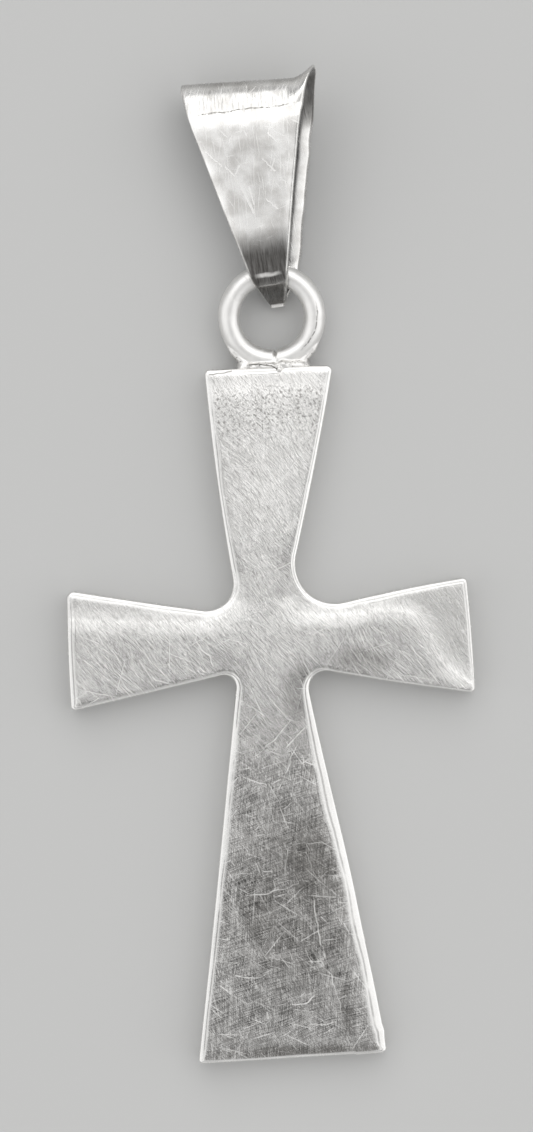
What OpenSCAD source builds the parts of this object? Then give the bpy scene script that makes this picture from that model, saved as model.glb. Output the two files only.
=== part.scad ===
// Flared cross pendant in silver, lying on its back.
// The plate and its soldered ring are one solid. The bail, a folded strap, hangs loose in the ring.
// +Y runs up the cross to the bail, +X to the right as seen from the front, +Z out of the front.
// The origin is the middle of the outline, on the surface that the back lies on. Millimetres.

/* [Cross] */
// Height of the cross, from its bottom edge to its top edge
cross_h = 44.3; // [41:0.1:48]
// Span of the two side arms, from end to end
cross_w = 25.9; // [23:0.1:29]
// Height of the crossing's middle above the bottom edge
crossing_h = 27; // [25:0.1:29]
// How far the upright stands to the right of the span's middle
upright_shift = 0.4; // [-1:0.1:1]
// Thickness of the plate
plate_t = 2.2; // [1.8:0.1:2.8]
// Width of the top edge
top_w = 8.3; // [7:0.1:10]
// Width of the bottom edge
bottom_w = 12; // [10:0.1:14]
// Length of a side arm's end edge
side_end_w = 7.6; // [6.5:0.1:9]
// Width of the upper arm at its waist
upper_waist_w = 4.2; // [3.6:0.1:5]
// Width of the lower arm at its waist
lower_waist_w = 5.3; // [4.6:0.1:6]
// Width of the side arms at their waist
side_waist_w = 4.7; // [4:0.1:5.4]
// Distance from the crossing's middle to the waists
waist_at = 5; // [4.5:0.1:6]

/* [Edges of the cross] */
// Radius of the round in the corner between two arms
fillet_r = 1.3; // [1:0.1:1.6]
// Radius of the worn edge round the front
rim_r = 0.5; // [0.3:0.05:0.7]
// Radius of the worn edge round the back
back_r = 0.25; // [0.15:0.05:0.4]

/* [Ring] */
// Diameter of the ring's wire
wire_d = 1.3; // [1:0.05:1.6]
// Diameter of the ring, measured at the middle of its wire
ring_d = 5.5; // [5:0.1:6.5]
// How far the ring stands to the right of the upright's middle
ring_shift = 0.45; // [-0.8:0.05:0.8]
// How far the ring's wire sits into the top edge
solder_sink = 0.12; // [0.05:0.01:0.3]
// Width of the solder foot on the top edge
foot_w = 4.2; // [3.6:0.1:5]
// Width of the solder between the foot and the ring
foot_neck_w = 3.7; // [3:0.1:4.2]
// Thickness of the solder foot
foot_t = 1.15; // [0.8:0.05:1.25]

/* [Bail] */
// Length of the bail, from the tips to the top of the fold
bail_len = 14.7; // [13:0.1:17]
// Width of the strap at the fold
bail_top_w = 8.7; // [7.5:0.1:10]
// Width of the strap at the crease under the ring's wire
bail_neck_w = 2.3; // [2:0.1:2.8]
// Width of the strap's tips
bail_tip_w = 0.85; // [0.6:0.05:1.2]
// Height of the fold, over both leaves
fold_h = 3.8; // [3.4:0.1:4.6]
// Thickness of the strap
strap_t = 0.45; // [0.35:0.05:0.55]
// Length of the tips, from the crease down
tip_len = 1.7; // [1.5:0.05:2.2]
// Clearance between the ring's wire and each leaf, in the middle of the strap
wire_gap = 0.2; // [0.15:0.01:0.3]
// Angle at which the bail lies turned on the ring, anticlockwise
bail_yaw = 6; // [0:0.5:10]
// Angle at which the bail lies rolled on to its left edge
bail_roll = 14; // [8:0.5:16]
// Angle round the ring, from its top to the right, where the bail hangs
bail_seat = 5; // [-5:0.5:8]

/* [Hidden] */
silver = [0.78, 0.78, 0.79];
$fn = 96;
// Facets across a worn edge, and how far the cutting shapes run past the plate
bevel_steps = 3;
spare = 1;
// How far the round filed into a corner dips into the two walls that it joins
file_dip = 0.015;

// One row for each corner between two arms: the side of the upright, up or down from the side
// arms, then the share of the upright's waist and of its end that lies on that side, the share
// of the side arm's waist and of its end, and the corner's round as a share of fillet_r.
CORNERS = [
    [-1,  1, 0.67, 0.485, 0.43, 0.47,  1.3],
    [ 1,  1, 0.33, 0.515, 0.48, 0.46,  1.45],
    [-1, -1, 0.57, 0.505, 0.54, 0.555, 0.6],
    [ 1, -1, 0.43, 0.495, 0.55, 0.53,  0.75]
];
SIDE = 0;
UP = 1;
UPRIGHT_WAIST = 2;
UPRIGHT_END = 3;
ARM_WAIST = 4;
ARM_END = 5;
ROUND = 6;

// Lengths of the four arms from the crossing's middle
upper_len = cross_h - crossing_h;
lower_len = crossing_h;
left_len = cross_w / 2 + upright_shift;
right_len = cross_w / 2 - upright_shift;

// The ring and its wire
wire_r = wire_d / 2;
ring_r = ring_d / 2;
ring_foot_y = upper_len + wire_r - solder_sink;
ring_foot_z = plate_t / 2;

// The solder climbs the ring's wire to this angle, and out to this share of the wire's radius.
// Its neck lies this share of the wire's radius below the middle of the wire.
solder_climb = -39;
solder_cover = 0.9;
solder_neck = 0.2;

// The bail in its own frame: X across the strap, Y from the tips to the fold, Z from the back
// leaf to the front leaf. Its neck leaves room for the wire as the strap lies rolled on it, and
// the crease lies nearer the tips than the wire, which bends away across the strap's width.
fold_r = fold_h / 2;
fold_c = [bail_len - fold_r, fold_r];
neck_gap = wire_d + bail_neck_w * sin(bail_roll) + 2 * wire_gap;
wire_drop = ring_r - sqrt(ring_r * ring_r - bail_neck_w * bail_neck_w / 4);
crease_share = 0.3;
tip_reach = tip_len + wire_drop + wire_gap + crease_share * wire_r;
crease = [tip_len, neck_gap + 2 * strap_t];
tip_top = [0, 2 * strap_t];

function unit(v) = v / norm(v);
function left_of(v) = [-v[1], v[0]];
function bearing(v) = atan2(v[1], v[0]);
function at_angle(a) = [cos(a), sin(a)];

// Point at distance r from two lines, each through a point p with the unit normal n to that side
function meeting(p1, n1, p2, n2, r) =
    let (c1 = r + p1 * n1, c2 = r + p2 * n2, d = n1[0] * n2[1] - n1[1] * n2[0])
    [c1 * n2[1] - c2 * n1[1], n1[0] * c2 - n2[0] * c1] / d;

// Point where a line from q touches the circle about c, on the circle's left as seen from q
function touch(c, r, q) = c + r * at_angle(bearing(q - c) - acos(r / norm(q - c)));

// Worn edge: steps in from the wall and down from the face, the last one running out past it
function worn(r) =
    let (on = [for (k = [0 : bevel_steps - 1])
        [r * (1 - cos(90 * k / bevel_steps)), r * (1 - sin(90 * k / bevel_steps))]])
    concat(on, [[2 * r, 0] - on[bevel_steps - 1]]);

// Section of what is cut away at an edge: X is the distance into the metal, Y the height, and
// depth is how far the cut reaches out from the wall
function cut_section(depth) =
    let (front = worn(rim_r), back = worn(back_r), last = bevel_steps)
    concat(
        [for (p = front) [p[0], plate_t - p[1]]],
        [[front[last][0], plate_t + spare], [-depth, plate_t + spare]],
        [[-depth, -spare], [back[last][0], -spare]],
        [for (k = [last : -1 : 0]) back[k]]
    );

// Cut along a straight side, from a point on it; metal is 1 where the metal lies to the left
module straight_cut(start, direction, len, depth, metal) {
    translate([start[0], start[1], 0])
        rotate([0, 0, bearing(direction)])
            rotate([90, 0, 90])
                linear_extrude(len)
                    polygon([for (p = cut_section(depth)) [metal * p[0], p[1]]]);
}

// Round file cut about a centre in the open corner between two sides
module round_cut(centre, r) {
    translate([centre[0], centre[1], 0])
        rotate_extrude()
            polygon([for (p = cut_section(r)) [r + p[0], p[1]]]);
}

// Open corner between the upright and a side arm, drawn for the corner up and to the right
module open_corner(waist, end, arm_waist, arm_end, up_len, arm_len, r) {
    up_a = [waist, waist_at];
    up_b = [end, up_len];
    out_a = [waist_at, arm_waist];
    out_b = [arm_len, arm_end];
    up_dir = unit(up_b - up_a);
    out_dir = unit(out_b - out_a);
    up_n = -left_of(up_dir);
    out_n = left_of(out_dir);
    centre = meeting(up_a, up_n, out_a, out_n, r - file_dip);
    up_near = centre - (r - file_dip) * up_n;
    out_near = centre - (r - file_dip) * out_n;
    up_run = (up_b - up_near) * up_dir + spare;
    out_run = (out_b - out_near) * out_dir + spare;
    depth = r - 2 * file_dip;
    half = r / 2;
    straight_cut(up_near, up_dir, up_run, depth, 1);
    round_cut(centre, r);
    straight_cut(out_near, out_dir, out_run, depth, -1);
    translate([0, 0, -2 * spare])
        linear_extrude(plate_t + 4 * spare)
            polygon([
                centre - half * up_n,
                up_near + half * up_n + up_run * up_dir,
                [arm_len + spare, up_len + spare],
                out_near + half * out_n + out_run * out_dir,
                centre - half * out_n
            ]);
}

// Cut that ends an arm of the given length
module arm_end_cut(direction, len, width) {
    rotate([0, 0, direction])
        translate([len, 0, 0])
            rotate([90, 0, 0])
                linear_extrude(width + 2 * spare, center = true)
                    polygon([for (p = cut_section(spare)) [-p[0], p[1]]]);
}

module plate() {
    upright_w = max(top_w, bottom_w) + 2 * spare;
    arm_w = side_end_w + 2 * spare;
    difference() {
        union() {
            translate([-upright_w / 2, -lower_len - spare / 2, 0])
                cube([upright_w, cross_h + spare, plate_t]);
            translate([-left_len - spare / 2, -arm_w / 2, 0])
                cube([cross_w + spare, arm_w, plate_t]);
        }
        for (row = CORNERS) {
            upper = row[UP] > 0;
            r = row[ROUND] * fillet_r;
            mirror([row[SIDE] < 0 ? 1 : 0, 0, 0])
                mirror([0, upper ? 0 : 1, 0])
                    open_corner(
                        row[UPRIGHT_WAIST] * (upper ? upper_waist_w : lower_waist_w),
                        row[UPRIGHT_END] * (upper ? top_w : bottom_w),
                        row[ARM_WAIST] * side_waist_w,
                        row[ARM_END] * side_end_w,
                        upper ? upper_len : lower_len,
                        row[SIDE] < 0 ? left_len : right_len,
                        r
                    );
        }
        arm_end_cut(0, right_len, arm_w);
        arm_end_cut(90, upper_len, upright_w);
        arm_end_cut(180, left_len, arm_w);
        arm_end_cut(270, lower_len, upright_w);
    }
}

// The bail's widths at its stations, and the width at any distance from the tips
function strap_w(y) =
    y < crease[0]
        ? bail_tip_w + (bail_neck_w - bail_tip_w) * y / crease[0]
        : bail_neck_w + (bail_top_w - bail_neck_w) * (y - crease[0]) / (bail_len - crease[0]);

// The rolled bail rests on its left edge, at the neck and where the fold begins
edge_slope = (strap_w(fold_c[0]) - bail_neck_w) / 2 / (fold_c[0] - crease[0]);
bail_pitch = atan(sin(bail_roll) * edge_slope);
function edge_z(y) =
    y * sin(bail_pitch) - strap_w(y) / 2 * sin(bail_roll) * cos(bail_pitch);
bail_z = -min(edge_z(0), edge_z(crease[0]), edge_z(fold_c[0]));

// A point or direction of the bail's own frame after its roll, pitch and yaw
function rolled(p) = [
    p[0] * cos(bail_roll) - p[2] * sin(bail_roll),
    p[1],
    p[0] * sin(bail_roll) + p[2] * cos(bail_roll)
];
function pitched(p) = [
    p[0],
    p[1] * cos(bail_pitch) - p[2] * sin(bail_pitch),
    p[1] * sin(bail_pitch) + p[2] * cos(bail_pitch)
];
function yawed(p) = [
    p[0] * cos(bail_yaw) - p[1] * sin(bail_yaw),
    p[0] * sin(bail_yaw) + p[1] * cos(bail_yaw),
    p[2]
];
function turned(p) = yawed(pitched(rolled(p)));

// The ring is bent forward until its wire runs through the middle of the bail's neck
neck = turned([0, tip_reach, strap_t + neck_gap / 2]);
ring_tilt = asin((bail_z + neck[2] - ring_foot_z) / (ring_r * (1 + cos(bail_seat))));
seat = [
    ring_shift + ring_r * sin(bail_seat),
    ring_foot_y + ring_r * (1 + cos(bail_seat)) * cos(ring_tilt)
];
bail_at = [seat[0] - neck[0], seat[1] - neck[1], bail_z];

// The whole part is moved so that the middle of its outline lies at the origin
across = turned([1, 0, 0]);
fold_corner = bail_at + turned([bail_top_w / 2, fold_c[0], fold_c[1]]);
top_y = fold_corner[1] + fold_r * sqrt(1 - across[1] * across[1]);
to_origin = [upright_shift, (lower_len - top_y) / 2, 0];

// Solder foot between the top edge and the ring, in the ring's own plane
module foot() {
    shoulder = (ring_r + solder_cover * wire_r) * at_angle(solder_climb) + [0, ring_r];
    neck_y = -solder_neck * wire_r;
    edge_y = solder_sink - wire_r;
    translate([0, 0, -foot_t / 2])
        linear_extrude(foot_t)
            difference() {
                polygon([
                    [-foot_w / 2, edge_y - foot_t / 2],
                    [-foot_w / 2, edge_y],
                    [-foot_neck_w / 2, neck_y],
                    [-shoulder[0], shoulder[1]],
                    shoulder,
                    [foot_neck_w / 2, neck_y],
                    [foot_w / 2, edge_y],
                    [foot_w / 2, edge_y - foot_t / 2]
                ]);
                translate([0, ring_r])
                    circle(ring_r);
            }
}

module ring() {
    translate([0, ring_r, 0])
        rotate_extrude()
            translate([ring_r, 0])
                circle(wire_r);
}

module cross() {
    color(silver)
        translate(to_origin) {
            plate();
            translate([ring_shift, ring_foot_y, ring_foot_z])
                rotate([ring_tilt, 0, 0]) {
                    ring();
                    foot();
                }
        }
}

// Side view of the folded strap: outside of both leaves less the space between them
module strap_side() {
    leaf_out = left_of(unit(touch(fold_c, fold_r, crease) - crease));
    tip_out = left_of(unit(crease - tip_top));
    inner_crease = crease - strap_t * (leaf_out + tip_out) / (1 + leaf_out * tip_out);
    slope = (crease - tip_top)[0] / (crease - tip_top)[1];
    difference() {
        union() {
            translate(fold_c)
                circle(fold_r);
            polygon([[0, 0], [fold_c[0], 0], touch(fold_c, fold_r, crease), crease, tip_top]);
        }
        translate(fold_c)
            circle(fold_r - strap_t);
        polygon([
            [inner_crease[0] - (inner_crease[1] - strap_t) * slope, strap_t],
            [fold_c[0], strap_t],
            touch(fold_c, fold_r - strap_t, inner_crease),
            inner_crease
        ]);
    }
}

module bail() {
    stations = [-spare, 0, crease[0], bail_len + spare];
    half = [for (y = stations) strap_w(max(y, 0)) / 2];
    last = len(stations) - 1;
    color(silver)
        translate(to_origin + bail_at)
            rotate([0, 0, bail_yaw])
                rotate([bail_pitch, 0, 0])
                    rotate([0, -bail_roll, 0])
                        intersection() {
                            rotate([90, 0, 90])
                                linear_extrude(bail_top_w + 2 * spare, center = true)
                                    strap_side();
                            translate([0, 0, -spare])
                                linear_extrude(fold_h + 2 * spare)
                                    polygon(concat(
                                        [for (k = [0 : last]) [half[k], stations[k]]],
                                        [for (k = [last : -1 : 0]) [-half[k], stations[k]]]
                                    ));
                        }
}

cross();
bail();
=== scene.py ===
import math
import random
from collections import namedtuple

import bmesh
import bpy
import numpy as np
from mathutils import Matrix, Vector, geometry, kdtree, noise


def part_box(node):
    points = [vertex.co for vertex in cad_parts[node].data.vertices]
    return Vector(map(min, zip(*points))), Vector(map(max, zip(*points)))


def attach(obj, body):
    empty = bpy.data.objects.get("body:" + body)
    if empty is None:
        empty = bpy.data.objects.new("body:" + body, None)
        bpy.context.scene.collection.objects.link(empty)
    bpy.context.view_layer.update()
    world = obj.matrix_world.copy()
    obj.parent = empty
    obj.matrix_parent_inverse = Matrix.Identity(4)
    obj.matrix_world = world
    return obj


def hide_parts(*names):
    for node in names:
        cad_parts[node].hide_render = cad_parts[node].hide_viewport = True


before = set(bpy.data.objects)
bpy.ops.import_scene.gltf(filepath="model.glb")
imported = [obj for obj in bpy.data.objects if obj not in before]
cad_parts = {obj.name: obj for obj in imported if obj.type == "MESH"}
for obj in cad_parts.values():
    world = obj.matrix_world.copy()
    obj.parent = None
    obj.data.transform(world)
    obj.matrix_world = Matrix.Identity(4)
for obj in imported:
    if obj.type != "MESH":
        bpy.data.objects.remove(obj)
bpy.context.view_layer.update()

# The plate
# One casting of sterling silver, sawn and filed by hand to its flared outline, then polished.
# Wear has pillowed its front and rounded its rims unevenly, wide on some sides and thin on others.
MM = 0.001
cross_low = np.array(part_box("cross")[0]) / MM
PLATE_T = 2.2
LEFT_ARM = 13.35
LOWER_ARM = 27.0
crossing = np.array([cross_low[0] + LEFT_ARM, cross_low[1] + LOWER_ARM])
to_crossing = Matrix.Scale(MM, 4) @ Matrix.Translation((*crossing, 0))

# Corners from the top right round to the left, in mm from the middle of the crossing. bow, rim and
# pillow belong to the side that follows: how far it bows out, how wide its worn rim is, and how
# much lower the front lies beside that rim than in the middle.
Corner = namedtuple("Corner", "x y round bow rim pillow")
CORNERS = (
    Corner(4.27, 17.30, 0.35, 0.00, 0.40, 0.020),
    Corner(-4.02, 17.30, 0.30, 0.14, 0.42, 0.030),
    Corner(-2.47, 1.55, 1.70, 0.00, 0.40, 0.010),
    Corner(-13.35, 3.57, 0.45, 0.04, 0.50, 0.030),
    Corner(-13.35, -4.20, 0.28, 0.00, 0.19, 0.004),
    Corner(-2.61, -2.06, 0.75, -0.03, 0.52, 0.050),
    Corner(-6.08, -27.00, 0.25, 0.00, 0.20, 0.020),
    Corner(5.98, -26.70, 0.25, 0.02, 0.80, 0.170),
    Corner(1.78, -1.97, 1.00, 0.05, 0.19, 0.008),
    Corner(12.55, -4.02, 0.30, 0.05, 0.36, 0.020),
    Corner(12.28, 3.46, 0.28, 0.06, 0.38, 0.010),
    Corner(0.57, 1.53, 2.50, 0.08, 0.36, 0.030),
)
OUTLINE_STEP = 0.12


def unit(vector):
    return vector / np.linalg.norm(vector)


def ease(value):
    """Smooth step from 0 to 1."""
    value = np.clip(value, 0, 1)
    return value * value * (3 - 2 * value)


def wave(x, y, size, seed):
    """Smooth noise from -1 to 1 at a point, with bumps of the given size."""
    return noise.noise(Vector((x / size, y / size, seed)))


def corner_round(before, corner, after, radius):
    """Where a round of the given radius in a corner starts and ends, and its centre."""
    back, ahead = unit(before - corner), unit(after - corner)
    half = math.acos(back @ ahead) / 2
    reach = radius / math.tan(half)
    centre = corner + unit(back + ahead) * radius / math.sin(half)
    return corner + back * reach, corner + ahead * reach, centre


def arc(centre, radius, start, end, step):
    """Points round a centre from start up to but not including end, the short way round."""
    first, last = (math.atan2(*(p - centre)[::-1]) for p in (start, end))
    sweep = (last - first + math.pi) % math.tau - math.pi
    steps = max(4, math.ceil(abs(sweep) * radius / step))
    angles = [first + sweep * k / steps for k in range(steps)]
    return [centre + radius * np.array([math.cos(a), math.sin(a)]) for a in angles]


def line(start, end, step):
    """Points from start up to but not including end."""
    steps = math.ceil(np.linalg.norm(end - start) / step)
    return [start + (end - start) * k / steps for k in range(steps)]


def follow_outline():
    """Points round the outline, anticlockwise, and at each the rim's width and the pillow's height."""
    spots = [np.array([c.x, c.y]) for c in CORNERS]
    turns = [corner_round(spots[i - 1], spots[i], spots[(i + 1) % len(spots)], corner.round)
             for i, corner in enumerate(CORNERS)]
    points, worn = [], []
    for i, (corner, (start, end, centre)) in enumerate(zip(CORNERS, turns)):
        before = CORNERS[i - 1]
        bend = arc(centre, corner.round, start, end, OUTLINE_STEP)
        points += bend
        for k in range(len(bend)):
            t = k / len(bend)
            worn.append((before.rim + (corner.rim - before.rim) * t,
                         before.pillow + (corner.pillow - before.pillow) * t))
        side = turns[(i + 1) % len(turns)][0] - end
        outward = unit(np.array([side[1], -side[0]]))
        straight = line(end, end + side, OUTLINE_STEP)
        for k, point in enumerate(straight):
            t = k / len(straight)
            points.append(point + outward * corner.bow * 4 * t * (1 - t))
        worn += [(corner.rim, corner.pillow)] * len(straight)
    return np.array(points), np.array(worn)


def inward_of(points):
    """Unit direction into the metal at each point of a closed anticlockwise outline."""
    along = np.roll(points, -1, 0) - np.roll(points, 1, 0)
    across = np.stack([-along[:, 1], along[:, 0]], 1)
    return across / np.linalg.norm(across, axis=1)[:, None]


def blurred(values, reach):
    """Values round the outline, each averaged with its neighbours."""
    ring = np.concatenate([values[-reach:], values, values[:reach]])
    return np.convolve(ring, np.ones(2 * reach + 1) / (2 * reach + 1), mode="valid")


outline, worn = follow_outline()
rims, pillows = blurred(worn[:, 0], 4), blurred(worn[:, 1], 12)
inward = inward_of(outline)

# The nick is a lip of metal low on the right side, left by the saw, that rises fast and runs out
# slowly. Filing has left a slight wobble along the sides, and the right side of the lower arm a
# little hollow from the corner under the crossing down, and full above the nick. Each stretch is
# given by the heights at which it starts or ends. The rims are worn unevenly.
NICK_TOP, NICK_OUT = -24.85, 0.13
NICK_RISE, NICK_RUN = 0.5, 1.8
FILE_LONG, FILE_SHORT = 4.0, 0.9
FILE_DEEP, FILE_FINE = 0.022, 0.006
CROTCH = -2.2
HOLLOW, HOLLOW_END = 0.08, -11
FULL, FULL_START, FULL_END = 0.14, -8, -26.3
RIM_WEAR, RIM_WAVE = 0.26, 2.6
for i, (x, y) in enumerate(outline.copy()):
    down = NICK_TOP - y
    if x > 4 and down > 0:
        lip = min(1, down / NICK_RISE) * (1 - 0.6 * min(1, down / NICK_RUN))
        outline[i] -= inward[i] * NICK_OUT * lip
    filed = FILE_DEEP * wave(x, y, FILE_LONG, 1.3) + FILE_FINE * wave(x, y, FILE_SHORT, 4.1)
    outline[i] += inward[i] * filed
    rims[i] *= 1 + RIM_WEAR * wave(x, y, RIM_WAVE, 7.7)
    if y < CROTCH and 1 < x < 2 - 0.3 * y:
        outline[i] += inward[i] * HOLLOW * ease((CROTCH - y) / 1.5) * ease((y - HOLLOW_END) / 6)
        outline[i] -= inward[i] * FULL * ease((FULL_START - y) / 8) * ease((y - FULL_END) / 1.8)
    if x > 1 and y < 0:
        pillows[i] *= 0.15 + 0.85 * ease((-3.0 - y) / 8)
        rims[i] *= 1 - 0.35 * ease((y + 9) / 6) * ease((-1.0 - y) / 1.5)
rims = blurred(rims, 3)
inward = inward_of(outline)

# The front swells and falls away to the rim, and the rim's bevel turns into the edge's round
EDGE = 0.11
BEVEL_FALL, BEVEL_WIDE = 0.36, 0.2
BEVEL_CURVE = 1.5
PILLOW_REACH = 1.9
SWELL = 0.030
SWELL_LONG, SWELL_SHORT = 5.0, 2.2
edge_slope = math.atan(BEVEL_CURVE * BEVEL_FALL + 0.03)
edge_round = EDGE / (1 - math.sin(edge_slope))

# Polishing has rubbed the middle flat and left the tops and the far end of the side arms as they
# were filed. Each contour is the line at which the rubbing ended, with the metal it did not reach
# on its left. The front starts to tilt at a soft ridge before the line, tilts on for a little past
# it, and drops by a low step on it. fade is how far a contour's ends run out.
Contour = namedtuple("Contour", "points ridge tilt drop fade")
CONTOURS = (
    Contour(((-15.7, 1.9), (-8.7, 1.45), (-4.7, 1.25), (-3.3, 1.6), (-2.3, 2.5), (-2.5, 4.2),
             (-4.4, 7.4)), 0.95, 2.6, 0.012, 2.4),
    Contour(((2.9, 7.6), (1.0, 4.2), (0.7, 2.6), (1.4, 1.6), (3.6, 1.4), (7.0, 1.7), (8.2, 1.55),
             (9.2, 1.15), (9.65, 0.5), (10.05, -0.5), (10.75, -2.0), (12.3, -3.3), (14.2, -4.6)),
            0.95, 3.1, 0.018, 2.4),
)
RIDGE_SOFT = 0.3
TILT_PAST = 0.6
STEP_WIDE, LOOK_FADE = 0.12, 0.16

# Soft falls of the front that hand polishing left: a point where it starts, the direction in
# degrees in which it falls, and the width and height of the fall
Fall = namedtuple("Fall", "x y side wide drop")
FALLS = (
    Fall(-12.3, 0.00, 176, 0.60, 0.020),
    Fall(3.05, -19.0, 8, 1.00, 0.022),
    Fall(0.00, 15.2, 90, 1.40, 0.030),
    Fall(0.00, -25.4, 268, 0.90, 0.024),
)


def past_contour(x, y, contour):
    """How far a point lies on the unrubbed side of a contour, negative on the rubbed side, and how
    close to the contour's ends its nearest place is, as the share of it that still holds."""
    spot = np.stack([x, y], -1)
    nearest = np.full(len(spot), np.inf)
    past, place = np.zeros(len(spot)), np.zeros(len(spot))
    run = 0.0
    for start, end in zip(np.array(contour.points), np.array(contour.points)[1:]):
        length = np.linalg.norm(end - start)
        way = (end - start) / length
        along = np.clip((spot - start) @ way, 0, length)
        away = spot - start - along[:, None] * way
        gap = np.linalg.norm(away, axis=1)
        closer = gap < nearest
        nearest[closer] = gap[closer]
        past[closer] = (gap * np.sign(way[0] * away[:, 1] - way[1] * away[:, 0]))[closer]
        place[closer] = (run + along)[closer]
        run += length
    return past, ease(place / contour.fade) * ease((run - place) / contour.fade)


def front_height(x, y, depth, rim, pillow):
    """Heights of the front at points that lie depth inside the outline, and how unrubbed it is."""
    across = np.maximum(0, (rim - depth) / (rim - EDGE))
    height = PLATE_T - BEVEL_FALL * np.minimum(rim - EDGE, BEVEL_WIDE) * across ** BEVEL_CURVE
    height -= pillow * np.maximum(0, 1 - depth / PILLOW_REACH) ** 2
    swells = [1 - wave(a, b, SWELL_LONG, 2.2) - 0.4 * wave(a, b, SWELL_SHORT, 9.4)
              for a, b in zip(x, y)]
    height -= SWELL * np.array(swells) / 2
    for fall in FALLS:
        side = math.radians(fall.side)
        past = (x - fall.x) * math.cos(side) + (y - fall.y) * math.sin(side)
        height -= fall.drop * ease(past / fall.wide)
    unrubbed = np.zeros(len(x))
    for contour in CONTOURS:
        past, holds = past_contour(x, y, contour)
        bent = np.clip(past + contour.ridge, 0, contour.ridge + TILT_PAST)
        bent = np.where(bent < RIDGE_SOFT, bent ** 2 / (2 * RIDGE_SOFT), bent - RIDGE_SOFT / 2)
        tilted = math.tan(math.radians(contour.tilt)) * bent
        height -= holds * (tilted + contour.drop * ease(past / STEP_WIDE + 0.5))
        unrubbed = np.maximum(unrubbed, holds * ease(past / LOOK_FADE + 0.5))
    return height, unrubbed


def scatter_inside(spacing, nearest, farthest):
    """Points of a triangular grid that lie between two depths inside the outline: x, y, depth, and
    the place along the outline that each is nearest to."""
    following = np.roll(outline, -1, 0)
    find = kdtree.KDTree(4 * len(outline))
    for k in range(4):
        for i, (x, y) in enumerate(outline + (following - outline) * k / 4):
            find.insert((x, y, 0), i)
    find.balance()
    kept = []
    for row, y in enumerate(np.arange(-LOWER_ARM, CORNERS[0].y, spacing * math.sqrt(3) / 2)):
        crossed = (outline[:, 1] > y) != (following[:, 1] > y)
        start, run = outline[crossed], (following - outline)[crossed]
        cuts = np.sort(start[:, 0] + (y - start[:, 1]) / run[:, 1] * run[:, 0])
        for low, high in zip(cuts[::2], cuts[1::2]):
            first = math.ceil(low / spacing) * spacing + spacing / 2 * (row % 2)
            for x in np.arange(first, high, spacing):
                _, index, depth = find.find((x, y, 0))
                if nearest < depth <= farthest:
                    kept.append((x, y, depth, index))
    return np.array(kept)


def fill(loop, extra):
    """Triangles that fill a closed loop of points through the extra points."""
    spots = [Vector(p) for p in (*loop, *extra)]
    out = geometry.delaunay_2d_cdt(spots, [], [list(range(len(loop)))], 1, 1e-7)
    return [[out[3][i][0] for i in face] for face in out[2]]


def note(mesh, name, values):
    """Notes a number at each vertex of a mesh, for its material to read."""
    values = values.astype(np.float32)
    mesh.attributes.new(name, "FLOAT", "POINT").data.foreach_set("value", values)


def put(name, data):
    """Puts an object with its mesh or lens into the scene."""
    thing = bpy.data.objects.new(name, data)
    bpy.context.scene.collection.objects.link(thing)
    return thing


# Points lie densest by the rim. Rings of points run over the edge, down the wall, which the file
# has left a little uneven, and round to the back, which is flat.
EDGE_RINGS, WALL_RINGS, BACK_RINGS = 7, 4, 6
WALL_IN, WALL_UNEVEN, WALL_WAVE = 0.01, 0.012, 0.5
BACK_ROUND = 0.22
field = np.concatenate([scatter_inside(0.10, EDGE + 0.06, 0.8), scatter_inside(0.15, 0.90, 2.0),
                        scatter_inside(0.22, 2.13, LEFT_ARM)])
places = field[:, 3].astype(int)
heights, strips = front_height(*field[:, :3].T, rims[places], pillows[places])
count = len(outline)
top, top_strips = front_height(*(outline + inward * EDGE).T, np.full(count, EDGE), rims, pillows)
rings = []
for k in range(EDGE_RINGS):
    angle = edge_slope + (math.pi / 2 - edge_slope) * k / (EDGE_RINGS - 1)
    flat = outline + inward * edge_round * (1 - math.sin(angle))
    rings.append(np.column_stack([flat, top - edge_round * (math.cos(edge_slope) - math.cos(angle))]))
wall_top = rings[-1][:, 2]
for k in range(1, WALL_RINGS + 1):
    share = k / (WALL_RINGS + 1)
    dip = np.array([WALL_UNEVEN * wave(x, y, WALL_WAVE, share * 3) for x, y in outline])
    flat = outline + inward * (WALL_IN + dip)[:, None]
    rings.append(np.column_stack([flat, wall_top * (1 - share) + BACK_ROUND * share]))
for k in range(BACK_RINGS):
    angle = math.pi / 2 * k / (BACK_RINGS - 1)
    flat = outline + inward * BACK_ROUND * (1 - math.cos(angle))
    rings.append(np.column_stack([flat, np.full(count, BACK_ROUND * (1 - math.sin(angle)))]))

back_field = scatter_inside(0.9, BACK_ROUND + 0.3, LEFT_ARM)
verts = np.concatenate([*rings, np.column_stack([field[:, :2], heights]),
                        np.column_stack([back_field[:, :2], np.zeros(len(back_field))])])
faces = []
for k in range(len(rings) - 1):
    for i in range(count):
        j = (i + 1) % count
        faces.append((k * count + j, k * count + i, (k + 1) * count + i, (k + 1) * count + j))
front_start = len(rings) * count
for face in fill(rings[0][:, :2], field[:, :2]):
    faces.append([i if i < count else i - count + front_start for i in face])
back_start = front_start + len(field)
last_ring = front_start - count
for face in fill(rings[-1][:, :2], back_field[:, :2]):
    faces.append([i + last_ring if i < count else i - count + back_start for i in reversed(face)])

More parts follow.
